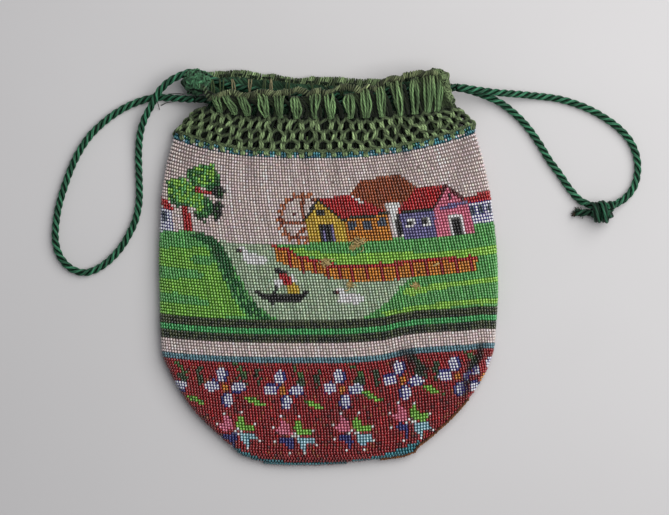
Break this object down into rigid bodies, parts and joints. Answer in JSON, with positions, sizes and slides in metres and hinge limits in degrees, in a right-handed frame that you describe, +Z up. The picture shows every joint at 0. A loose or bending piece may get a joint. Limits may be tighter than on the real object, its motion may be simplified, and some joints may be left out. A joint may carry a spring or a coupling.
{
  "type": "beaded reticule",
  "caption": "Flat bead-knitted drawstring pouch lying on its back, with a gathered crocheted top and a twisted cord ending in a loop and a knot; holds small things.",
  "frame": {"origin": "middle of the bag's footprint on the table, without its free cords", "axes": "+X to the right of the picture, +Y along the bag towards its mouth, +Z up from the table it lies on"},
  "size_m": [0.2959, 0.1984, 0.0216],
  "materials": {
    "bead_knit": "glass seed beads knitted into a fine thread ground, glossy and slightly uneven",
    "crochet_yarn": "matt olive green crochet cotton, faded on its outer side",
    "cord_yarn": "matt twisted cord of bluish green yarn"
  },
  "bodies": {
    "root": {"bead_pouch": "bead_knit", "crochet_openwork_band": "crochet_yarn", "crochet_casing": "crochet_yarn", "crochet_edging": "crochet_yarn", "drawstring_front_run": "cord_yarn", "drawstring_back_run": "cord_yarn", "drawstring_left_loop": "cord_yarn", "drawstring_right_outer": "cord_yarn", "drawstring_right_inner": "cord_yarn", "drawstring_knot": "cord_yarn"}
  },
  "joints": []
}
